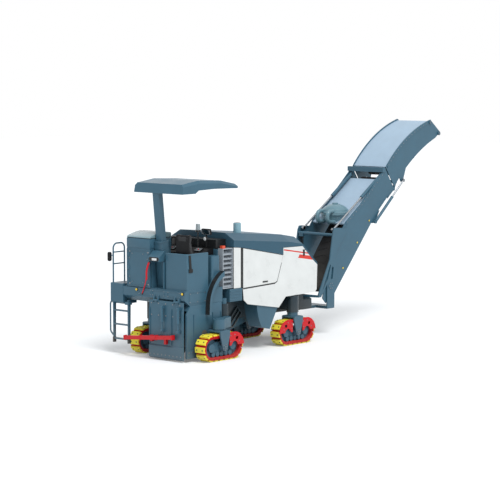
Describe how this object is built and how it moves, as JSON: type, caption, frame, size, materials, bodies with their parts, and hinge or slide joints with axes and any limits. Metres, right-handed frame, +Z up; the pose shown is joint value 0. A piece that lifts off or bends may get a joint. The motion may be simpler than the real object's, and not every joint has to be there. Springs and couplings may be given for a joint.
{
  "type": "cold planer milling machine",
  "caption": "Road milling machine on crawler tracks with a front loading conveyor, a milling drum at the back and an open canopy.",
  "frame": {"origin": "on the ground under the middle of the machine's overall box", "axes": "+X the direction of travel, where the conveyor is; +Y the machine's left; +Z up"},
  "size_m": [9.721, 2.718, 4.85],
  "materials": {
    "slate_paint": "satin",
    "white_paint": "satin",
    "pale_paint": "satin",
    "red_paint": "satin",
    "track_pad": "matt",
    "dark_steel": "matt",
    "bare_steel": "brushed",
    "black_plastic": "matt",
    "belt_rubber": "matt",
    "orange_lens": "gloss",
    "pale_cover": "matt"
  },
  "bodies": {
    "chassis": {"main_frame": "slate_paint", "engine_block": "dark_steel", "drum_housing": "slate_paint", "rear_body": "slate_paint", "primary_conveyor": "slate_paint", "rear_bulkhead": "slate_paint", "front_grille": "black_plastic", "hood": "slate_paint", "side_panel_right": "white_paint", "side_panel_left": "white_paint", "tank_right": "slate_paint", "tank_left": "slate_paint", "cooling_stack": "dark_steel", "service_boxes": "slate_paint", "platform": "slate_paint", "cabinet": "slate_paint", "mast_guide": "slate_paint", "ladder": "slate_paint", "seat": "black_plastic", "console": "black_plastic", "exhaust": "pale_paint", "mirror": "black_plastic", "beacon": "orange_lens", "lamps": "orange_lens"},
    "front_right_unit": {"leg_front_right": "slate_paint", "track_frame_front_right": "slate_paint", "track_front_right": "track_pad"},
    "front_left_unit": {"leg_front_left": "slate_paint", "track_frame_front_left": "slate_paint", "track_front_left": "track_pad"},
    "rear_left_unit": {"leg_rear_left": "slate_paint", "track_frame_rear_left": "slate_paint", "track_rear_left": "track_pad"},
    "rear_right_unit": {"leg_rear_right": "slate_paint", "track_frame_rear_right": "slate_paint", "track_rear_right": "track_pad"},
    "swing_arm": {"swing_arm": "slate_paint"},
    "drum": {"milling_drum": "dark_steel"},
    "scraper": {"scraper": "slate_paint", "rear_bar": "red_paint"},
    "flap_right": {"engine_flap_right": "white_paint"},
    "flap_left": {"engine_flap_left": "white_paint"},
    "canopy": {"canopy": "slate_paint", "canopy_mast": "slate_paint"},
    "yoke": {"slew_yoke": "slate_paint", "yoke_hoses": "belt_rubber"},
    "lower_conveyor": {"lower_trough": "slate_paint", "lower_belt": "belt_rubber", "lower_cover": "pale_cover", "dust_unit": "slate_paint"},
    "upper_conveyor": {"upper_trough": "slate_paint", "upper_belt": "belt_rubber", "upper_cover": "pale_cover"},
    "lift_barrels": {"lift_barrels": "slate_paint"},
    "lift_rods": {"lift_rods": "bare_steel"},
    "fold_barrels": {"fold_barrels": "slate_paint"},
    "fold_rods": {"fold_rods": "bare_steel"}
  },
  "joints": [
    {"name": "steer_front_right", "type": "hinge", "parent": "chassis", "child": "front_right_unit", "pos_m": [-1.137, -0.81, 0.9], "axis": [0, 0, 1], "range_deg": [-25, 25]},
    {"name": "steer_front_left", "type": "hinge", "parent": "chassis", "child": "front_left_unit", "pos_m": [-1.137, 0.65, 0.9], "axis": [0, 0, 1], "range_deg": [-25, 25]},
    {"name": "steer_rear_left", "type": "hinge", "parent": "chassis", "child": "rear_left_unit", "pos_m": [-3.94, 0.775, 0.9], "axis": [0, 0, 1], "range_deg": [-12, 12]},
    {"name": "leg_swing", "type": "hinge", "parent": "chassis", "child": "swing_arm", "pos_m": [-3.47, -0.852, 0.9], "axis": [0, 0, 1], "range_deg": [0, 154]},
    {"name": "leg_turn", "type": "hinge", "parent": "swing_arm", "child": "rear_right_unit", "pos_m": [-3.94, -1.145, 0.9], "axis": [0, 0, 1], "range_deg": [-154, 0]},
    {"name": "drum_spin", "type": "hinge", "parent": "chassis", "child": "drum", "pos_m": [-4.14, -0.4, 0.545], "axis": [0, 1, 0], "continuous": true},
    {"name": "scraper_open", "type": "hinge", "parent": "chassis", "child": "scraper", "pos_m": [-4.769, -0.4, 1.26], "axis": [0, 1, 0], "range_deg": [0, 90]},
    {"name": "flap_right_open", "type": "hinge", "parent": "chassis", "child": "flap_right", "pos_m": [-2.905, -0.915, 2.268], "axis": [-0.9829, 0, 0.1839], "range_deg": [0, 80]},
    {"name": "flap_left_open", "type": "hinge", "parent": "chassis", "child": "flap_left", "pos_m": [-2.905, 0.915, 2.268], "axis": [0.9829, 0, -0.1839], "range_deg": [0, 80]},
    {"name": "canopy_lower", "type": "slide", "parent": "chassis", "child": "canopy", "axis": [-0.1045, 0, 0.9945], "range_m": [-0.25, 0]},
    {"name": "conveyor_slew", "type": "hinge", "parent": "chassis", "child": "yoke", "pos_m": [0, 0, 0.78], "axis": [0, 0, 1], "range_deg": [-40, 40]},
    {"name": "conveyor_lower", "type": "hinge", "parent": "yoke", "child": "lower_conveyor", "pos_m": [0.56, 0, 1.13], "axis": [0, 1, 0], "range_deg": [-3, 15]},
    {"name": "conveyor_fold", "type": "hinge", "parent": "lower_conveyor", "child": "upper_conveyor", "pos_m": [2.985, 0, 3.235], "axis": [0, 1, 0], "range_deg": [0, 90]},
    {"name": "lift_barrel_turn", "type": "hinge", "parent": "lower_conveyor", "child": "lift_barrels", "pos_m": [2.55, 0, 3.585], "axis": [0, 1, 0], "range_deg": [-2, 6]},
    {"name": "lift_rod_slide", "type": "slide", "parent": "lift_barrels", "child": "lift_rods", "axis": [-0.8352, 0, -0.5499], "range_m": [-0.07, 0.3]},
    {"name": "fold_barrel_turn", "type": "hinge", "parent": "lower_conveyor", "child": "fold_barrels", "pos_m": [2.2, 0, 2.5], "axis": [0, 1, 0], "range_deg": [0, 20]},
    {"name": "fold_rod_slide", "type": "slide", "parent": "fold_barrels", "child": "fold_rods", "axis": [0.7607, 0, 0.6491], "range_m": [-0.31, 0]}
  ],
  "couplings": [
    {"joint": "steer_front_left", "follows": "steer_front_right", "ratio": 1},
    {"joint": "leg_turn", "follows": "leg_swing", "ratio": -1},
    {"joint": "lift_barrel_turn", "follows": "conveyor_lower", "ratio": 0.3217},
    {"joint": "lift_rod_slide", "follows": "conveyor_lower", "m_per_rad": 1.0561},
    {"joint": "fold_barrel_turn", "follows": "conveyor_fold", "ratio": 0.2115},
    {"joint": "fold_rod_slide", "follows": "conveyor_fold", "m_per_rad": -0.1926}
  ]
}
